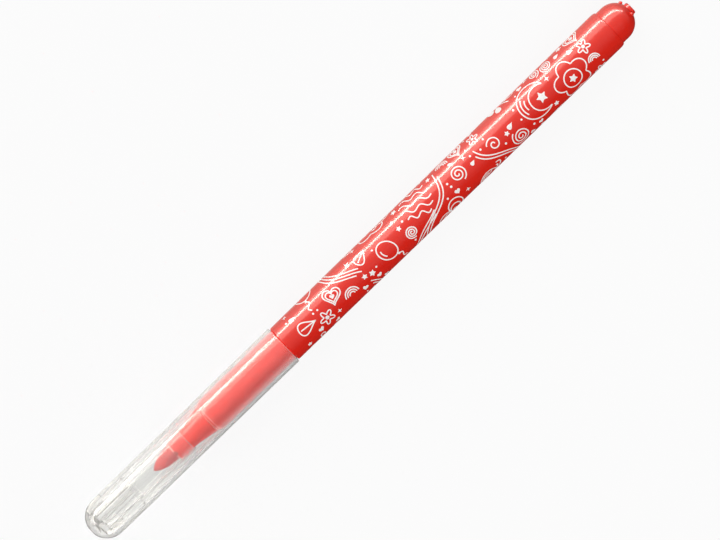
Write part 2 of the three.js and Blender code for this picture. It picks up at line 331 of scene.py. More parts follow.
def turned(outline, steps, closed=False):
    """A shape turned about the X axis. A corner (x, radius, size) is rounded by that size."""
    bm = bmesh.new()
    corners = [bm.verts.new((p[0], 0.0, max(p[1], 0.0) * ROUND_FIT)) for p in outline]
    for pair in pairs(corners, closed):
        bm.edges.new(pair)
    for corner, p in zip(corners, outline):
        if len(p) > 2:
            rounded(bm, [corner], p[2], "VERTICES")
    bmesh.ops.spin(
        bm, geom=bm.verts[:] + bm.edges[:], cent=(0, 0, 0), axis=(1, 0, 0),
        angle=2 * pi, steps=steps, use_merge=True,
    )
    bmesh.ops.remove_doubles(bm, verts=bm.verts[:], dist=1e-8)
    bmesh.ops.recalc_face_normals(bm, faces=bm.faces[:])
    return bm


def swung(bm, place, angle):
    """Moves a shape to its place and then swings it about the pen's axis, towards -Y."""
    bmesh.ops.translate(bm, vec=place, verts=bm.verts[:])
    swing = Matrix.Rotation(angle, 3, "X")
    bmesh.ops.rotate(bm, cent=(0, 0, 0), matrix=swing, verts=bm.verts[:])
    return bm


def bar(start, end, inner, outer, width, angle, rounding=0.0):
    """A bar along the pen from x to x and from radius to radius, swung to an angle."""
    bm = bmesh.new()
    height = outer - inner
    bmesh.ops.create_cube(bm, size=1.0)
    bmesh.ops.scale(bm, vec=(end - start, width, height), verts=bm.verts[:])
    if rounding:
        upright = [e for e in bm.edges if abs(e.verts[0].co.z - e.verts[1].co.z) > height / 2]
        rounded(bm, upright, rounding)
    return swung(bm, ((start + end) / 2, 0, (inner + outer) / 2), angle)


def peg(foot, top, height):
    """A round peg that stands along Z, with its middle at the origin."""
    bm = bmesh.new()
    bmesh.ops.create_cone(bm, cap_ends=True, segments=32, radius1=foot, radius2=top, depth=height)
    return bm


def to_mesh(bm, name):
    mesh = bpy.data.meshes.new(name)
    bm.to_mesh(mesh)
    bm.free()
    return mesh


def add_object(name, data):
    made = bpy.data.objects.new(name, data)
    bpy.context.scene.collection.objects.link(made)
    return made


def shaped(bm, joined=(), cut=()):
    """Joins tools to a shape and then cuts others out of it."""
    made = [add_object("in_work", to_mesh(form, "in_work")) for form in (bm, *joined, *cut)]
    body = made[0]
    for i, tool in enumerate(made[1:]):
        change = body.modifiers.new("change", "BOOLEAN")
        change.operation = "UNION" if i < len(joined) else "DIFFERENCE"
        change.solver = "EXACT"
        change.object = tool
    shown = body.evaluated_get(bpy.context.evaluated_depsgraph_get())
    result = bmesh.new()
    result.from_mesh(shown.to_mesh())
    shown.to_mesh_clear()
    for each in made:
        mesh = each.data
        bpy.data.objects.remove(each)
        bpy.data.meshes.remove(mesh)
    return result


def finish_piece(name, bm, material, body, node=None):
    """Makes a piece that rides on a body, lifted to the pen's axis and flat at the floor."""
    bmesh.ops.translate(bm, vec=(0, 0, AXIS_HEIGHT), verts=bm.verts[:])
    for vert in bm.verts:
        vert.co.z = max(vert.co.z, 0.0)
    open_edges = sum(not e.is_manifold for e in bm.edges)
    if open_edges or not bm.faces:
        raise RuntimeError(f"{name} has {len(bm.faces)} faces and {open_edges} open edges")
    mesh = to_mesh(bm, name)
    mesh.shade_smooth()
    mesh.set_sharp_from_angle(angle=SHARP_ANGLE)
    mesh.materials.append(material)
    piece = add_object(name, mesh)
    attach(piece, body)
    if node:
        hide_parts(node)


def lip_place():
    """Where the barrel's front lip is, behind its neck."""
    return NECK_FRONT + bpy.context.scene.pen_barrel.neck_length


# Materials.


def fill(tree, node, sockets):
    """Gives sockets of a node, found by name or number, a link or a constant."""
    for name, value in sockets.items():
        socket = node.inputs[name]
        if isinstance(value, bpy.types.NodeSocket):
            tree.links.new(value, socket)
        else:
            socket.default_value = (*value, 1.0) if socket.type == "RGBA" else value


def add_node(tree, kind, sockets, **settings):
    made = tree.nodes.new("ShaderNode" + kind)
    for name, value in settings.items():
        setattr(made, name, value)
    fill(tree, made, sockets)
    return made


def output_of(tree, kind, sockets, output=0, **settings):
    return add_node(tree, kind, sockets, **settings).outputs[output]


def maths(tree, operation, *values, **settings):
    return output_of(tree, "Math", dict(enumerate(values)), operation=operation, **settings)


def noise(tree, place, scale, detail=2.0, roughness=0.5):
    sockets = {"Vector": place, "Scale": scale, "Detail": detail, "Roughness": roughness}
    return output_of(tree, "TexNoise", sockets, "Fac")


def spread(tree, value, low, high, to_low=0.0, to_high=1.0):
    """Maps a range of values to another and holds what lies outside at its ends."""
    sockets = {
        "Value": value, "From Min": low, "From Max": high, "To Min": to_low, "To Max": to_high,
    }
    return output_of(tree, "MapRange", sockets)


def mapped(tree, place, **sockets):
    """The same place, moved, turned or scaled along each axis."""
    return output_of(tree, "Mapping", {"Vector": place, **sockets})


def coordinate(tree, place, axis="X"):
    return output_of(tree, "SeparateXYZ", {"Vector": place}, axis)


def mix_colours(tree, factor, first, second):
    sockets = {0: factor, 6: first, 7: second}
    return output_of(tree, "Mix", sockets, 2, data_type="RGBA", blend_type="MIX")


def mix_shaders(tree, factor, first, second):
    return output_of(tree, "MixShader", {0: factor, 1: first, 2: second})


def bump(tree, height, strength, distance):
    sockets = {"Strength": strength, "Distance": distance, "Height": height}
    return output_of(tree, "Bump", sockets)


def mirror_ray(tree, rays):
    """1 for rays that gloss reflects, and 0 for those that pass through something clear."""
    kinds = rays.outputs["Is Glossy Ray"], rays.outputs["Is Transmission Ray"]
    return maths(tree, "SUBTRACT", *kinds, use_clamp=True)


def moulded_skin(tree, place, flow_scale, grain_scale, scuff_scale, scuff_amount):
    """Faint flow marks, fine texture and hairline scuffs of moulded plastic."""
    flow = noise(tree, mapped(tree, place, Scale=(0.35, 1.0, 1.0)), flow_scale, 3.0, 0.55)
    grain = noise(tree, place, grain_scale, 2.0, 0.6)
    hairs = []
    for angle in (0.35, -0.9):
        tilted = mapped(tree, place, Rotation=(angle, angle, angle))
        drawn_out = mapped(tree, tilted, Scale=(0.06, 1.0, 1.0))
        hairs.append(spread(tree, noise(tree, drawn_out, scuff_scale, 3.0, 0.6), 0.66, 0.76))
    where = spread(tree, noise(tree, place, 110.0), 0.45, 0.7)
    local = maths(tree, "MULTIPLY", maths(tree, "MAXIMUM", *hairs), where)
    scuffs = maths(tree, "MULTIPLY", local, scuff_amount)
    height = maths(tree, "SUBTRACT", maths(tree, "MULTIPLY_ADD", grain, 0.35, flow), scuffs)
    return {"Flow": spread(tree, flow, 0.3, 0.7), "Scuffs": scuffs, "Height": height}


def bonded_fibres(tree, place, fibre_scale, patch_scale):
    """Fine fibres that run along the pen, with darker gaps between them."""
    fibres = noise(tree, mapped(tree, place, Scale=(0.12, 1.0, 1.0)), fibre_scale, 3.0, 0.65)
    patches = spread(tree, noise(tree, place, patch_scale), 0.35, 0.65)
    return {"Gaps": spread(tree, fibres, 0.55, 0.3), "Patches": patches, "Height": fibres}


def effect(tree, make, place, **amounts):
    """A node with a group that materials share. make fills the group when it is first used."""
    name = make.__name__.replace("_", " ").capitalize()
    group = bpy.data.node_groups.get(name)
    if not group:
        group = bpy.data.node_groups.new(name, "ShaderNodeTree")
        kinds = {"place": "NodeSocketVector", **dict.fromkeys(amounts, "NodeSocketFloat")}
        for label, kind in kinds.items():
            group.interface.new_socket(name=label, in_out="INPUT", socket_type=kind)
        entry = group.nodes.new("NodeGroupInput")
        results = make(group, **{label: entry.outputs[label] for label in kinds})
        for label in results:
            group.interface.new_socket(name=label, in_out="OUTPUT", socket_type="NodeSocketFloat")
        fill(group, group.nodes.new("NodeGroupOutput"), results)
    return add_node(tree, "Group", {"place": place, **amounts}, node_tree=group).outputs


def new_material(name):
    """A material with a Principled BSDF, its output and the place on the piece."""
    material = bpy.data.materials.new(name)
    material.use_nodes = True
    tree = material.node_tree
    tree.nodes.clear()
    shader = add_node(tree, "BsdfPrincipled", {})
    output = add_node(tree, "OutputMaterial", {"Surface": shader.outputs["BSDF"]})
    return material, tree, shader, output, output_of(tree, "TexCoord", {}, "Object")


def skin_on(tree, shader, place, scales, scuffs, roughness, relief):
    """Gives a shader the moulded skin, with its roughness if smooth and if scuffed."""
    names = ("flow_scale", "grain_scale", "scuff_scale")
    skin = effect(tree, moulded_skin, place, **dict(zip(names, scales)), scuff_amount=scuffs)
    dulled = spread(tree, skin["Scuffs"], 0.0, 0.5, *roughness)
    fill(tree, shader, {"Roughness": dulled, "Normal": bump(tree, skin["Height"], *relief)})
    return skin["Flow"]


def rubbed_ring(tree, place, edge, width):
    """A mask for a painted highlight: a ring round the pen, strongest in its middle, with an uneven
    border.
    """
    distance = maths(tree, "ABSOLUTE", maths(tree, "SUBTRACT", coordinate(tree, place), edge))
    border = spread(tree, noise(tree, place, 900.0), 0.3, 0.7, 0.0, width * 0.5)
    return spread(tree, maths(tree, "ADD", distance, border), width, width * 0.4, 0.0, 0.85)


def red_plastic(name, roughness=0.18, scuffs=0.35, edges=(), painted_lighter_before=None, polish=0.0):
    """Glossy moulded red plastic. An edge is a place along the pen and the width of a paler ring
    painted there as a highlight.
    """
    colours = bpy.context.scene.pen_colours
    material, tree, shader, _, place = new_material(name)
    dull = roughness + 0.15
    relief = (0.06, 0.004 * MM)
    flow = skin_on(tree, shader, place, (70.0, 7000.0, 420.0), scuffs, (roughness, dull), relief)
    tone = mix_colours(tree, flow, colours.deep_red, colours.red)
    # Painted light: before this place the red is a little paler, to make up for the light the clear
    # cap holds back.
    if painted_lighter_before is not None:
        along = coordinate(tree, place)
        beyond = spread(tree, along, painted_lighter_before - BLEND, painted_lighter_before + BLEND)
        tone = mix_colours(tree, beyond, colours.neck_red, tone)
        if polish:
            coat = spread(tree, beyond, 0.0, 1.0, polish, 0.0)
            fill(tree, shader, {"Coat Weight": coat, "Coat Roughness": 0.28})
    # Painted highlights: paler rings where an edge would catch the light.
    for edge, width in edges:
        tone = mix_colours(tree, rubbed_ring(tree, place, edge, width), tone, colours.rubbed)
    fill(tree, shader, {"Base Color": tone, "IOR": 1.5})
    return material


def clear_plastic(name):
    """Clear moulded plastic that lets light through to what lies under it. Its inner faces get
    painted shade where they are seen edge-on.
    """
    colours = bpy.context.scene.pen_colours
    material, tree, shader, output, place = new_material(name)
    relief = (0.02, 0.002 * MM)
    skin_on(tree, shader, place, (160.0, 5000.0, 520.0), 0.5, (0.04, 0.14), relief)
    fill(tree, shader, {"Base Color": colours.clear, "Specular Tint": colours.clear_gloss})
    fill(tree, shader, {"Transmission Weight": 1.0 - colours.clear_haze, "IOR": 1.49})
    facing = output_of(tree, "LayerWeight", {"Blend": 0.5}, "Facing")
    share_of_veil = spread(tree, facing, 0.12, 1.0, 0.0, colours.edge_veil)
    veil = output_of(tree, "BsdfDiffuse", {"Color": colours.veil})
    surface = mix_shaders(tree, share_of_veil, shader.outputs["BSDF"], veil)
    # Painted shade: a dark diffuse layer on the cap's inner faces where they are seen edge-on,
    # standing in for the dark lines that refraction draws there.
    across = mapped(tree, place, Location=(0, 0, -AXIS_HEIGHT), Scale=(0, 1, 1))
    radius = output_of(tree, "VectorMath", {0: across}, "Value", operation="LENGTH")
    inside = spread(tree, radius, CAP_INSIDE - BLEND, CAP_INSIDE + BLEND, colours.edge_line, 0.0)
    share_of_painted_shade = maths(tree, "MULTIPLY", inside, spread(tree, facing, 0.66, 0.86))
    line = output_of(tree, "BsdfDiffuse", {"Color": colours.shade})
    surface = mix_shaders(tree, share_of_painted_shade, surface, line)
    lets_through = output_of(tree, "BsdfTransparent", {"Color": colours.clear_shadow})
    shadow = output_of(tree, "LightPath", {}, "Is Shadow Ray")
    fill(tree, output, {"Surface": mix_shaders(tree, shadow, surface, lets_through)})
    return material


def printed_ink(name):
    """White ink, a little thin in places."""
    colours = bpy.context.scene.pen_colours
    material, tree, shader, _, place = new_material(name)
    thin = spread(tree, noise(tree, place, 1500.0, 3.0, 0.6), 0.52, 0.72)
    ink = {
        "Base Color": mix_colours(tree, thin, colours.ink, colours.ink_thin),
        "Roughness": spread(tree, thin, 0.0, 1.0, 0.32, 0.22),
        "Normal": bump(tree, noise(tree, place, 12000.0), 0.2, 0.004 * MM),
    }
    fill(tree, shader, ink)
    return material


def soaked_fibre(name, dry, wet, scale, root=None):
    """Bonded fibre soaked with ink. The root is a place along the pen and the colour behind it, a
    painted shade for the nib inside the holder.
    """
    material, tree, shader, _, place = new_material(name)
    fibres = effect(tree, bonded_fibres, place, fibre_scale=scale, patch_scale=scale / 8)
    strands = mix_colours(tree, fibres["Gaps"], dry, wet)
    tone = mix_colours(tree, fibres["Patches"], strands, dry)
    # Painted shade: the nib is darker where it lies inside the holder, seen only through the air
    # notches.
    if root:
        start, behind = root
        inside = spread(tree, coordinate(tree, place), start - 0.15 * MM, start + 0.1 * MM)
        tone = mix_colours(tree, inside, tone, behind)
    fibre = {
        "Base Color": tone,
        "Roughness": spread(tree, fibres["Gaps"], 0.0, 1.0, 0.5, 0.75),
        "Normal": bump(tree, fibres["Height"], 0.35, 0.02 * MM),
        "Specular IOR Level": 0.2,
    }
    fill(tree, shader, fibre)
    return material


def reservoir_film(name):
    """Thin smooth film round the reservoir."""
    film = bpy.context.scene.pen_colours.film
    material, tree, shader, _, place = new_material(name)
    relief = (0.2, 0.01 * MM)
    flow = skin_on(tree, shader, place, (200.0, 6000.0, 700.0), 0.2, (0.25, 0.45), relief)
    darker = tuple(c * 0.86 for c in film)
    fill(tree, shader, {"Base Color": mix_colours(tree, flow, darker, film)})
    return material


# The printed pattern: outlines in a flat drawing, x along the pen and y round it.


def ray(angle):
    return Vector((cos(angle), sin(angle)))


def loop_of(radius_at, steps):
    """A closed outline from its radius at each angle."""
    return [ray(a) * radius_at(a) for a in around(steps)]


def circle(radius, steps):
    return loop_of(lambda a: radius, steps)


def oval_arc(start, end, steps, width=1.0, height=1.0):
    return [Vector(p) for p in arc((0, 0), (width, height), start, end, steps)]


def curve(point_at, start, end, steps):
    """A line through what a formula gives at even steps from start to end."""
    return [Vector(point_at(start + (end - start) * i / steps)) for i in range(steps + 1)]


def swirl(sweep, inner, growth, steps, start=0.0):
    """A line that sweeps through an angle while its radius grows."""
    turns = [i / steps for i in range(steps + 1)]
    return [ray(start + sweep * t) * (inner + growth * t) for t in turns]


def softened(points, times=1):
    """Cuts the corners off a closed outline, again and again, until it is smooth."""
    for _ in range(times):
        points = [p for a, b in pairs(points) for p in (a.lerp(b, 0.25), a.lerp(b, 0.75))]
    return points


def moved(points, by=(0, 0), angle=0.0, scale=1.0):
    turned_by = Matrix.Rotation(angle, 2)
    return [turned_by @ p * scale + Vector(by) for p in points]


def heart_outline(size):
    heart = []
    for a in around(64):
        y = 13 * cos(a) - 5 * cos(2 * a) - 2 * cos(3 * a) - cos(4 * a)
        heart.append(Vector((sin(a) ** 3, y / 16 + 0.1)) * size)
    return heart


def star_outline(size, points=5, waist=0.52):
    angles = around(2 * points, pi / 2)
    corners = [ray(a) * size * (waist if i % 2 else 1) for i, a in enumerate(angles)]
    return softened([p for a, b in pairs(corners) for p in (a, a.lerp(b, 0.5))], 2)


def drop_outline(size, width):
    return [Vector((cos(a), 0.7 * width * sin(a) * (1 - cos(a)))) * size for a in around(40)]


# A motif is a list of strokes in a circle of radius 1. A stroke says if it is closed and filled.


def line(points):
    return points, False, False


def ring(points):
    return points, True, False


def solid(points):
    return points, True, True


def daisy(luck):
    petals = luck.choice((5, 6, 7, 8))
    scallops = loop_of(lambda a: 0.7 + 0.3 * abs(cos(petals * a / 2)), 96)
    return [ring(scallops), ring(circle(0.46, 40)), solid(star_outline(0.24, petals, 0.5))]


def spiral(luck):
    turns = luck.choice((2.2, 2.7, 3.1))
    hand = luck.choice((1, -1))
    return [line(swirl(2 * pi * turns * hand, 0.1, 0.9, int(turns * 34)))]


def nested(outline, size):
    return [ring(outline(size)), ring(outline(0.62)), solid(outline(0.26))]


def double_star(luck):
    return nested(star_outline, 1.0)


def double_heart(luck):
    return nested(heart_outline, 0.92)


def crescent(luck):
    horns = oval_arc(40, 320, 40) + moved(oval_arc(295, 65, 30, 0.72, 0.72), (0.42, 0))[1:-1]
    star = moved(star_outline(0.34, 5, 0.5), (0.42, 0), 0.3)
    stripes = [
        line(moved(oval_arc(150, 150 + sweep, 12, reach, reach), (-0.02, 0)))
        for reach, sweep in ((0.78, 70), (0.56, 60))
    ]
    return [ring(softened(horns)), solid(star), *stripes]


def cloud(luck):
    bumps = luck.choice((6, 7))
    puffs = loop_of(lambda a: 0.74 + 0.26 * abs(cos(bumps * a / 2 + 0.4)), 96)
    wave = curve(lambda t: (t * 0.28, 0.06 * sin(t * 4)), -1, 1, 16)
    return [
        ring([Vector((p.x, p.y * 0.66)) for p in puffs]),
        line(moved(swirl(4.6, 0.3, -0.15, 24, 0.4), (-0.28, 0))),
        line(moved(wave, (0.3, -0.08))),
        line(moved(wave, (0.26, -0.3))),
    ]


def sun(luck):
    rays = luck.choice((11, 13))
    zigzag = [ray(a) * (1 if i % 2 else 0.72) for i, a in enumerate(around(2 * rays))]
    curl = moved(spiral(luck)[0][0], scale=0.34)
    return [ring(softened(zigzag)), ring(circle(0.52, 44)), line(curl)]


def bow(luck):
    eight = [Vector((cos(a), 0.625 * sin(2 * a))) for a in around(72, pi / 72)]
    halves, inner, tails = [], [], []
    for side in (1, -1):
        half = [p for p in eight if p.x * side > 0.16]
        half.sort(key=lambda p: atan2(p.y, (p.x - side * 0.5) * side))
        half = softened(half)
        halves.append(ring(half))
        inner.append(ring(moved(half, (side * 0.23, 0), scale=0.58)))
        tail = curve(lambda t: (0.1 + 0.42 * t, 0.2 * t * t - 0.62 * t - 0.16), 0, 1, 10)
        tails.append(line([Vector((side * p.x, p.y)) for p in tail]))
    return [*halves, *inner, solid(circle(0.15, 20)), *tails]


def sprig(luck):
    stem = curve(lambda t: (2 * t - 1, 0.34 * sin(pi * (t * 1.3 - 0.2))), 0, 1, 24)
    leaves = []
    for i in range(4, 21, 4):
        filled = i % 8 == 0
        way = stem[i + 1] - stem[i - 1]
        lean = atan2(way.y, way.x) + (-1.05 if filled else 1.05)
        leaf = moved(drop_outline(0.27, 0.62), stem[i] + ray(lean) * 0.37, lean + pi)
        leaves.append((leaf, True, filled))
    return [line(stem), *leaves]


def ripples(luck):
    lines = []
    for level in (-0.72, -0.36, 0.0, 0.36, 0.72):
        reach = sqrt(1 - level**2) * 0.96
        wave = curve(lambda t: (t * reach, level + 0.11 * sin(t * 6.5)), -1, 1, 40)
        lines.append(line(wave))
    return lines


def planet(luck):
    ball = ring(circle(0.52, 48))
    rings = [line(oval_arc(148, 392, 44, 1, 0.3)), line(oval_arc(158, 382, 36, 0.76, 0.17))]
    bands = [
        line(curve(lambda t: (t * reach, level + 0.05 * cos(t * 3)), -1, 1, 16))
        for level, reach in ((0.2, 0.42), (0.36, 0.28))
    ]
    return [ball, *rings, *bands]


def balloon(luck):
    skin = [Vector((p.x * 0.82, p.y)) for p in circle(0.62, 52)]
    string = curve(lambda t: (0.12 * sin(t * 6.3), -0.38 - 0.62 * t), 0, 1, 16)
    return [
        ring(moved(skin, (0, 0.36))),
        line(moved(oval_arc(-15, 60, 10, -0.3, 0.4), (0, 0.36))),
        solid(moved(drop_outline(0.12, 0.7), (0, -0.32), pi / 2)),
        line(string),
    ]


def feather(luck):
    quill = curve(lambda x: (x, 0), 0.85, -0.75, 12)
    return [ring(drop_outline(0.95, 0.75)), line(quill)]


def small_flower(luck):
    petals = loop_of(lambda a: 0.72 + 0.28 * cos(5 * a), 60)
    return [ring(petals), solid(circle(0.26, 20))]


def tadpole(luck):
    return [line(swirl(1.45 * 2 * pi, 0.12, 0.86, 40))]


def arches(luck):
    return [line(moved(oval_arc(0, 180, 24, r, r), (0, -0.42))) for r in (0.95, 0.66, 0.37)]


def filled_with(outline, *sizes):
    """A motif that is one filled outline."""
    return lambda luck: [solid(outline(*sizes))]


LARGE_MOTIFS = (
    daisy, spiral, double_star, double_heart, crescent, cloud, sun, bow, sprig, ripples, planet,
    balloon,
)
MIDDLE_MOTIFS = (feather, small_flower, tadpole, arches, double_heart, spiral)
SMALL_MOTIFS = (
    filled_with(star_outline, 1.0),
    filled_with(heart_outline, 0.9),
    filled_with(star_outline, 1.0, 4, 0.3),
    filled_with(drop_outline, 1.0, 0.7),
)


def scattered(luck, width, girth, radii, tries, taken, gap):
    """Places circles at random where they touch no other. The drawing joins up round the pen."""
    placed = []
    for _ in range(tries):
        radius = luck.uniform(*radii)
        place = Vector((luck.uniform(radius, width - radius), luck.uniform(0, girth)))
        for other, other_radius in taken:
            across = abs(place.y - other.y)
            across = min(across, girth - across)
            if hypot(place.x - other.x, across) < radius + other_radius + gap:
                break
        else:
            taken.append((place, radius))
            placed.append((place, radius))
    return placed


def streamers(luck, sizes, width, girth, taken):
    """Long waving groups of lines that run slantwise round the barrel."""
    lines = []
    for i in range(sizes.streamers):
        reach = Vector((luck.uniform(7, 10), luck.choice((-1, 1)) * luck.uniform(8, 12))) * MM
        room = (width - 10 * MM) / sizes.streamers
        start = Vector((room * (i + luck.uniform(0.1, 0.9)), luck.uniform(0, girth)))
        aside = Vector((-reach.y, reach.x)).normalized()
        sway, phase = luck.uniform(0.9, 1.6) * MM, luck.uniform(0, 2 * pi)
        for number in range(luck.choice((2, 3))):
            trim = 0.06 * abs(number - 1)
            points = []
            for step in range(45):
                t = trim + (1 - 2 * trim) * step / 44
                wave = sway * sin(5.5 * t + phase) + number * sizes.streamer_gap
                points.append(start + reach * t + aside * wave)
            lines.append(points)
            taken += [(Vector((p.x, p.y % girth)), 0.3 * MM) for p in points[::2]]
    return lines


def edges_along(bm, points, closed=True):
    verts = [bm.verts.new((p.x, p.y, 0.0)) for p in points]
    return [bm.edges.new(pair) for pair in pairs(verts, closed)]


def fill_outline(bm, points):
    """Fills a closed outline with rings that grow smaller towards its middle."""
    middle = sum(points, Vector((0, 0))) / len(points)
    rings = [
        edges_along(bm, [middle + (p - middle) * scale for p in points])
        for scale in (1.0, 0.72, 0.44, 0.18)
    ]
    for wide, narrow in pairs(rings, False):
        bmesh.ops.bridge_loops(bm, edges=wide + narrow)
    bmesh.ops.contextual_create(bm, geom=rings[-1])


def ink_line(bm, points, closed, width):
    """A band of ink along the points, bridged between its two edges, with rounded ends."""
    weighted = [(p, 1.0) for p in points]
    if not closed:
        tips = []
        for end, beside in ((points[0], points[1]), (points[-1], points[-2])):
            weighted = [row for row in weighted if (row[0] - end).length > width / 2]
            way = (beside - end).normalized() * width / 2
            tips.append([(end + way * d, w) for d, w in ((0.0, 0.4), (0.22, 0.8), (0.6, 1.0))])
        weighted = tips[0] + weighted + tips[1][::-1]
    left, right = [], []
    for i, (p, weight) in enumerate(weighted):
        before = weighted[i - 1][0] if closed or i else p
        after = weighted[(i + 1) % len(weighted)][0] if closed or i < len(weighted) - 1 else p
        along = (after - before).normalized()
        aside = Vector((-along.y, along.x)) * width / 2 * weight
        left.append(p + aside)
        right.append(p - aside)
    sides = edges_along(bm, left, closed) + edges_along(bm, right, closed)
    bmesh.ops.bridge_loops(bm, edges=sides)


def draw_pattern(sizes, width, girth):
    """The whole pattern as flat faces, drawn from a seed."""
    bm = bmesh.new()
    luck = random.Random(sizes.seed)
    taken = []
    for points in streamers(luck, sizes, width, girth, taken):
        ink_line(bm, points, False, sizes.line)
    *rooms, dots = [
        scattered(luck, width, girth, (size * smallest, size), tries, taken, gap * MM)
        for size, smallest, tries, gap in (
            (sizes.large, 0.7, 9000, 0.12),
            (sizes.middle, 0.5, 9000, 0.15),
            (sizes.small, 0.7, 4000, 0.25),
            (sizes.dot, 0.8, 900, 0.4),
        )
    ]
    queue = []
    for room, motifs in zip(rooms, (LARGE_MOTIFS, MIDDLE_MOTIFS, SMALL_MOTIFS)):
        bag = []
        for place, radius in room:
            if not bag:
                bag = list(motifs)
                luck.shuffle(bag)
            queue.append((bag.pop(), place, radius, luck.uniform(-0.6, 0.6)))
    for motif, place, radius, angle in queue:
        for points, closed, filled in motif(luck):
            outline = moved(points, place, angle, radius)
            if filled:
                fill_outline(bm, outline)
            else:
                ink_line(bm, outline, closed, sizes.line)
    for place, radius in dots:
        fill_outline(bm, moved(circle(radius, 14), place))
    return bm


def wrapped_round(bm, sizes, start, barrel):
    """Gives the flat drawing its thickness and lays it round the drafted barrel."""
    bm.normal_update()
    bmesh.ops.reverse_faces(bm, faces=[face for face in bm.faces if face.normal.z < 0])
    lifted = bmesh.ops.extrude_face_region(bm, geom=bm.faces[:], use_keep_orig=True)
    raised = [v for v in lifted["geom"] if isinstance(v, bmesh.types.BMVert)]
    bmesh.ops.translate(bm, vec=(0, 0, sizes.proud + sizes.sunk), verts=raised)
    slope = (barrel.rear_radius - barrel.front_radius) / (BARREL_REAR - lip_place())
    girth_radius = (barrel.front_radius + barrel.rear_radius) / 2
    for vert in bm.verts:
        x = start + vert.co.x
        surface = (barrel.front_radius + slope * (x - lip_place())) * ROUND_FIT
        radius = surface - sizes.sunk + vert.co.z
        angle = vert.co.y / girth_radius
        vert.co = (x, radius * sin(angle), radius * cos(angle))
    bmesh.ops.recalc_face_normals(bm, faces=bm.faces[:])
    return bm


# One operator for each piece or group of like pieces.


class PEN_OT_barrel(bpy.types.Operator):
    """Make the barrel and its neck"""

    bl_idname = "pen.barrel"
    bl_label = "Barrel"

    def execute(self, context):
        sizes = context.scene.pen_barrel
        lip = lip_place()
        bead = lip - sizes.bead_from_lip
        bore_start = lip + sizes.bore_start
        bore_full = bore_start + sizes.bore_widening
        neck_front = sizes.neck_radius - sizes.chamfer_depth
        front_bore = sizes.front_radius - sizes.wall
        rim = (BARREL_REAR - sizes.rear_round_length, sizes.rear_radius - sizes.rear_round)
        outline = [
            (NECK_FRONT, sizes.neck_bore, 0.08 * MM), (NECK_FRONT, neck_front, BROAD),
            (NECK_FRONT + sizes.chamfer_length, sizes.neck_radius, 0.3 * MM),
            (bead - sizes.bead_width / 2, sizes.neck_radius, 0.15 * MM),
            (bead, sizes.neck_radius + sizes.bead_height, BROAD),
            (bead + sizes.bead_width / 2, sizes.neck_radius, 0.15 * MM),
            (lip, sizes.neck_radius, CRISP), (lip, sizes.front_radius, sizes.lip_round),
            *arc(rim, (sizes.rear_round_length, sizes.rear_round), 90, 5, 10),
            (BARREL_REAR, sizes.rear_radius - sizes.wall),
            (bore_full, front_bore), (bore_start, sizes.neck_bore),
        ]
        rib_end = PLUG_FRONT - sizes.rib_end
        ribs = [
            bar(bore_full, rib_end, sizes.rib_radius, front_bore + PAST, sizes.rib_width, angle)
            for angle in around(sizes.ribs)
        ]
        tube = shaped(turned(outline, sizes.steps, closed=True), ribs)
        # Painted highlights at the seam between the neck and the holder.
        edges = ((NECK_FRONT, sizes.rubbed), (NECK_FRONT + sizes.rubbed_apart, sizes.rubbed))
        polish = context.scene.pen_colours.neck_polish
        material = red_plastic("barrel_red_plastic", edges=edges, painted_lighter_before=lip, polish=polish)
        finish_piece("barrel_body", tube, material, "pen", "barrel")
        return {"FINISHED"}


class PEN_OT_print(bpy.types.Operator):
    """Print the white pattern of stars, hearts, flowers and curls round the barrel"""

    bl_idname = "pen.printed_pattern"
    bl_label = "Printed pattern"

    def execute(self, context):
        sizes = context.scene.pen_print
        barrel = context.scene.pen_barrel
        start = lip_place() + sizes.start
        girth = pi * (barrel.front_radius + barrel.rear_radius)
        drawing = draw_pattern(sizes, BARREL_REAR - sizes.end - start, girth)
        pattern = wrapped_round(drawing, sizes, start, barrel)
        finish_piece("printed_pattern", pattern, printed_ink("white_ink"), "pen")
        return {"FINISHED"}


class PEN_OT_holder(bpy.types.Operator):
    """Make the cone and nose that hold the nib"""

    bl_idname = "pen.nib_holder"
    bl_label = "Nib holder"

    def execute(self, context):
        sizes = context.scene.pen_holder
        cone_end = NECK_FRONT - SEAM
        grip_end = NOSE_FACE + sizes.grip_length
        outline = [
            (NOSE_FACE, sizes.nib_bore, CRISP), (NOSE_FACE, sizes.nose_radius, sizes.nose_round),
            (NOSE_FACE + sizes.nose_length, sizes.nose_radius, sizes.cone_foot),
            (cone_end, sizes.cone_radius, sizes.cone_round), (cone_end, sizes.spigot_radius, CRISP),
            (HOLDER_REAR, sizes.spigot_radius, 0.15 * MM), (HOLDER_REAR, sizes.spigot_bore, SOFT),
            (grip_end + (sizes.spigot_bore - sizes.nib_bore), sizes.spigot_bore),
            (grip_end, sizes.nib_bore),
        ]
        notch_place = (NOSE_FACE + sizes.notch_depth - sizes.notch_radius, 0, sizes.nose_radius)
        notch_height = 2 * (sizes.nose_radius - sizes.nib_bore + PAST)
        groove_top = sizes.nib_bore + sizes.groove_depth
        groove = (NOSE_FACE - PAST, grip_end + PAST, sizes.nib_bore - PAST, groove_top)
        cuts = []
        for angle in around(sizes.grooves, sizes.groove_turn):
            notch = peg(sizes.notch_radius, sizes.notch_radius, notch_height)
            cuts += [bar(*groove, sizes.groove_width, angle), swung(notch, notch_place, angle)]
        cone = shaped(turned(outline, sizes.steps, closed=True), cut=cuts)
        # Painted highlights on the nose's rim and the cone's wide edge.
        edges = ((NOSE_FACE + 0.2 * MM, sizes.rubbed_nose), (cone_end, sizes.rubbed_cone))
        material = red_plastic("holder_red_plastic", 0.26, 0.2, edges, painted_lighter_before=HOLDER_REAR)
        finish_piece("nib_holder_body", cone, material, "pen", "nib_holder")
        return {"FINISHED"}


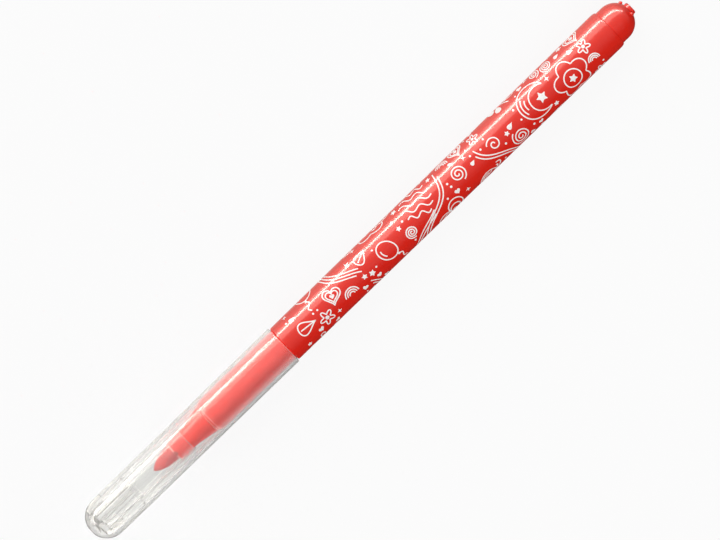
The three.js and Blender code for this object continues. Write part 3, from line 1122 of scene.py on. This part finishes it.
class PEN_OT_nib(bpy.types.Operator):
    """Make the fibre nib"""

    bl_idname = "pen.nib"
    bl_label = "Nib"

    def execute(self, context):
        sizes = context.scene.pen_nib
        colours = context.scene.pen_colours
        outline = []
        for i in range(sizes.rings + 1):
            along = (i / sizes.rings) ** 2
            radius = sizes.radius * (1 - (1 - along) ** 2) ** sizes.fullness
            outline.append((NIB_TIP + along * sizes.bullet_length, radius))
        shoulder = (NIB_TAIL - sizes.tail_chamfer, sizes.radius)
        outline += [shoulder, (NIB_TAIL, sizes.radius - sizes.tail_chamfer), (NIB_TAIL, 0)]
        # Painted shade on the nib inside the holder.
        root = (NOSE_FACE, colours.nib_root)
        material = soaked_fibre("nib_fibre", colours.nib, colours.nib_wet, 5000.0, root)
        finish_piece("nib_point", turned(outline, sizes.steps), material, "pen", "nib")
        return {"FINISHED"}


class PEN_OT_reservoir(bpy.types.Operator):
    """Give the reservoir's fibre core and its film their finishes"""

    bl_idname = "pen.reservoir"
    bl_label = "Ink reservoir"

    def execute(self, context):
        colours = context.scene.pen_colours
        darker = tuple(c * 0.6 for c in colours.reservoir)
        finishes = {
            "ink_reservoir_core": soaked_fibre("ink_fibre", colours.reservoir, darker, 2500.0),
            "ink_reservoir_film": reservoir_film("film"),
        }
        for node, material in finishes.items():
            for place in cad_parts[node].material_slots:
                place.link = "OBJECT"
                place.material = material
        return {"FINISHED"}


class PEN_OT_plug(bpy.types.Operator):
    """Make the domed rear plug with its disc and pips"""

    bl_idname = "pen.rear_plug"
    bl_label = "Rear plug"

    def execute(self, context):
        sizes = context.scene.pen_plug
        dome = BARREL_REAR + sizes.straight
        hollow = dome + sizes.head_radius - sizes.end_wall - sizes.spigot_bore
        disc_angle = degrees(asin(sizes.disc_radius / sizes.head_radius))
        grooves = []
        deep = sizes.spigot_radius - sizes.groove_depth
        for i in range(sizes.grooves):
            start = PLUG_FRONT + (i + 0.5) * sizes.groove_pitch + sizes.groove_width / 2
            end = start + sizes.groove_width
            grooves += [(start - sizes.groove_depth, sizes.spigot_radius), (start, deep)]
            grooves += [(end, deep), (end + sizes.groove_depth, sizes.spigot_radius)]
        outline = [
            *arc((hollow, 0), (sizes.spigot_bore, sizes.spigot_bore), 0, 90, 10),
            (PLUG_FRONT, sizes.spigot_bore, SOFT), (PLUG_FRONT, sizes.spigot_radius, BROAD),
            *grooves,
            (BARREL_REAR, sizes.spigot_radius), (BARREL_REAR, sizes.head_radius, CRISP),
            *arc((dome, 0), (sizes.head_radius, sizes.head_radius), 90, disc_angle, 24),
            (PLUG_END, sizes.disc_radius, 0.3 * MM), (PLUG_END, 0),
        ]
        lean = pi / 2 - asin(sizes.pip_circle / sizes.head_radius)
        reach = sizes.head_radius * ROUND_FIT + (sizes.pip_height - PAST) / 2
        place = Matrix.Rotation(lean, 4, "Y") @ Matrix.Translation((0, 0, reach))
        pips = []
        for angle in around(sizes.pips, -pi / 2):
            pip = peg(sizes.pip_radius, sizes.pip_top, sizes.pip_height + PAST)
            top_rim = [e for e in pip.edges if all(v.co.z > 0 for v in e.verts)]
            rounded(pip, top_rim, sizes.pip_round)
            bmesh.ops.transform(pip, matrix=place, verts=pip.verts[:])
            pips.append(swung(pip, (dome, 0, 0), angle))
        plug = shaped(turned(outline, sizes.steps), pips)
        material = red_plastic("plug_red_plastic")
        finish_piece("rear_plug_body", plug, material, "pen", "rear_plug")
        return {"FINISHED"}


class PEN_OT_cap(bpy.types.Operator):
    """Make the clear cap with its sealing sleeve, ribs and air windows"""

    bl_idname = "pen.cap"
    bl_label = "Clear cap"

    def execute(self, context):
        sizes = context.scene.pen_cap
        tip = CAP_END - sizes.tip_beyond_end
        web = tip + sizes.tip_to_web
        shoulder = web + sizes.sleeve_shoulder
        passage = tip + sizes.passage_from_tip
        sleeve_rim = NOSE_FACE + sizes.sleeve_past_nose
        seal_end = sleeve_rim - sizes.lead_in - sizes.seal_length
        sleeve_radius = sizes.sleeve_bore + sizes.sleeve_wall
        end_bore = sizes.sleeve_bore - sizes.sleeve_step
        end_radius = sleeve_radius - sizes.sleeve_step
        web_bore = sizes.mouth_bore + sizes.draft * (web - CAP_MOUTH)
        passage_radius = web_bore - sizes.passage_step
        dome_radius = sizes.mouth_bore + sizes.draft * (tip - CAP_MOUTH) + sizes.wall
        dome_round = (dome_radius, dome_radius)
        dimple = CAP_END + sizes.dimple_depth
        dimple_angle = 180 - degrees(asin(sizes.dimple_radius / dome_radius))
        outline = [
            (dimple, 0), (dimple, sizes.dimple_radius, 0.25 * MM),
            *arc((tip + dome_radius, 0), dome_round, dimple_angle, 90, 28),
            (CAP_MOUTH, sizes.mouth_bore + sizes.wall, sizes.mouth_round),
            (CAP_MOUTH, sizes.mouth_bore, 0.08 * MM),
            (web, web_bore, FINE), (web, passage_radius, FINE),
            (passage, passage_radius, SOFT), (passage, end_radius, SOFT),
            (web, end_radius, FINE), (web, sleeve_radius, FINE),
            (sleeve_rim, sleeve_radius, FINE), (sleeve_rim, sizes.sleeve_bore + sizes.lead_in),
            (sleeve_rim - sizes.lead_in, sizes.seal_bore), (seal_end, sizes.seal_bore, SOFT),
            (seal_end - sizes.seal_slope, sizes.sleeve_bore, SOFT),
            (shoulder, sizes.sleeve_bore, FINE), (shoulder, end_bore, FINE),
            (tip + sizes.end_wall, end_bore, BROAD), (tip + sizes.end_wall, 0),
        ]
        rib = (passage - PAST, web, end_radius - sizes.sleeve_wall / 2, passage_radius + PAST)
        start = tip + sizes.window_from_tip
        window = (start, start + sizes.window_length, end_radius + PAST, dome_radius + PAST)
        angles = around(sizes.ribs, sizes.window_turn)
        ribs = [bar(*rib, sizes.rib_width, angle + pi / sizes.ribs) for angle in angles]
        windows = [bar(*window, sizes.window_width, angle, sizes.window_round) for angle in angles]
        cap = shaped(turned(outline, sizes.steps), ribs, windows)
        material = clear_plastic("clear_plastic")
        finish_piece("clear_cap", cap, material, "cap", "cap")
        return {"FINISHED"}


def make_floor(studio):
    """A plain pale floor. To gloss it glows, brighter on the side of the large softbox, as a
    painted reflection.
    """
    pale = bpy.context.scene.pen_colours.floor
    bm = bmesh.new()
    bmesh.ops.create_grid(bm, x_segments=1, y_segments=1, size=15.0)
    material, tree, shader, output, place = new_material("floor_paper")
    mottle = noise(tree, place, 40.0, 3.0)
    paper = mix_colours(tree, mottle, tuple(c * 0.985 for c in pale), pale)
    fill(tree, shader, {"Base Color": paper, "Roughness": 0.9, "Specular IOR Level": 0.0})
    # Painted reflection: an emission that only gloss sees, brighter towards +Y.
    across = coordinate(tree, place, "Y")
    glow = spread(tree, across, -4 * MM, 30 * MM, studio.dark_side, studio.bright_side)
    mirrored = output_of(tree, "Emission", {"Color": studio.warm, "Strength": glow})
    lifted = output_of(tree, "Emission", {"Strength": studio.backdrop})
    rays = add_node(tree, "LightPath", {})
    direct = maths(tree, "MULTIPLY", rays.outputs["Is Camera Ray"], studio.floor_seen)
    through = rays.outputs["Is Transmission Ray"]
    seen = maths(tree, "MULTIPLY_ADD", through, studio.seen_through, direct)
    below = mix_shaders(tree, seen, shader.outputs["BSDF"], lifted)
    fill(tree, output, {"Surface": mix_shaders(tree, mirror_ray(tree, rays), below, mirrored)})
    mesh = to_mesh(bm, "floor")
    mesh.materials.append(material)
    floor = add_object("floor", mesh)


def make_room(studio):
    """A plain room that is pale to the camera and brighter on one side to gloss."""
    world = bpy.data.worlds.new("room")
    bpy.context.scene.world = world
    world.use_nodes = True
    tree = world.node_tree
    tree.nodes.clear()
    white = (1.0, 1.0, 1.0)
    across = coordinate(tree, output_of(tree, "TexCoord", {}, "Generated"), "Y")
    glow = spread(tree, across, -0.78, 1.0, studio.dark_side, studio.bright_side)
    seen, felt, mirrored = (
        output_of(tree, "Background", {"Color": tint, "Strength": strength})
        for tint, strength in ((white, studio.backdrop), (white, studio.world), (studio.warm, glow))
    )
    rays = add_node(tree, "LightPath", {})
    plain = mix_shaders(tree, rays.outputs["Is Camera Ray"], felt, seen)
    surface = mix_shaders(tree, mirror_ray(tree, rays), plain, mirrored)
    add_node(tree, "OutputWorld", {"Surface": surface})


def soft_light(name, place, size, brightness, tint=None, seen_through=False):
    """A rectangular light that looks at the pen and that the camera doesn't see.

    One with a tint shows only in gloss, and one without only lights the pen."""
    lamp = bpy.data.lights.new(name, "AREA")
    lamp.shape = "RECTANGLE"
    lamp.size, lamp.size_y = size
    lamp.energy = brightness * pi * size[0] * size[1]
    lamp.color = tint or (1.0, 1.0, 1.0)
    holder = add_object(name, lamp)
    holder.location = place
    holder.rotation_euler = (-Vector(place)).to_track_quat("-Z", "Y").to_euler()
    holder.visible_camera = False
    holder.visible_glossy = bool(tint)
    holder.visible_diffuse = not tint
    holder.visible_transmission = seen_through


class PEN_OT_studio(bpy.types.Operator):
    """Set up the floor, the soft lights, the room and the camera"""

    bl_idname = "pen.studio"
    bl_label = "Studio"

    def execute(self, context):
        studio = context.scene.pen_studio
        scene = context.scene
        scene.view_settings.view_transform = "Standard"
        make_floor(studio)
        make_room(studio)
        soft_light("key_softbox", (0.1, 0.76, 0.52), (1.2, 1.0), studio.key)
        soft_light("strip_light", (0, 0.452, 0.213), (3.6, 0.085), studio.strip, studio.warm, True)
        for wide in (0.15, 0.28, 0.42, 0.57):
            soft_light("glow_panel", (0, 0.43, 0.29), (3.6, wide), studio.glow, studio.warm)
        soft_light("fill_light", (0.0, -0.6, 0.8), (1.2, 0.9), studio.fill)
        view = bpy.data.cameras.new("camera")
        view.lens = studio.lens
        view.sensor_width = 36.0
        view.clip_start, view.clip_end = 0.01, 20.0
        camera = add_object("camera", view)
        away = studio.view_width * studio.lens / view.sensor_width
        camera.location = (studio.aim_x, studio.aim_y, AXIS_HEIGHT + away)
        camera.rotation_euler = (0.0, 0.0, studio.roll)
        scene.camera = camera
        return {"FINISHED"}


class PEN_PT_panel(bpy.types.Panel):
    """Lists the pieces of the pen in the sidebar"""

    bl_idname = "PEN_PT_panel"
    bl_label = "Felt-tip pen"
    bl_space_type = "VIEW_3D"
    bl_region_type = "UI"
    bl_category = "Felt-tip pen"

    def draw(self, context):
        for operator in OPERATORS:
            self.layout.operator(operator.bl_idname)


GROUPS = {
    "pen_barrel": BarrelSizes,
    "pen_holder": HolderSizes,
    "pen_nib": NibSizes,
    "pen_plug": PlugSizes,
    "pen_cap": CapSizes,
    "pen_print": PrintSizes,
    "pen_colours": PenColours,
    "pen_studio": StudioSettings,
}
OPERATORS = (
    PEN_OT_studio, PEN_OT_barrel, PEN_OT_print, PEN_OT_holder, PEN_OT_nib, PEN_OT_reservoir,
    PEN_OT_plug, PEN_OT_cap,
)


def register():
    for kind in (*GROUPS.values(), *OPERATORS, PEN_PT_panel):
        bpy.utils.register_class(kind)
    for name, kind in GROUPS.items():
        setattr(bpy.types.Scene, name, PointerProperty(type=kind))


def unregister():
    for name in GROUPS:
        delattr(bpy.types.Scene, name)
    for kind in reversed((*GROUPS.values(), *OPERATORS, PEN_PT_panel)):
        bpy.utils.unregister_class(kind)


def main():
    register()
    bpy.ops.pen.studio()
    bpy.ops.pen.barrel()
    bpy.ops.pen.printed_pattern()
    bpy.ops.pen.nib_holder()
    bpy.ops.pen.nib()
    bpy.ops.pen.reservoir()
    bpy.ops.pen.rear_plug()
    bpy.ops.pen.cap()


if __name__ == "__main__":
    main()
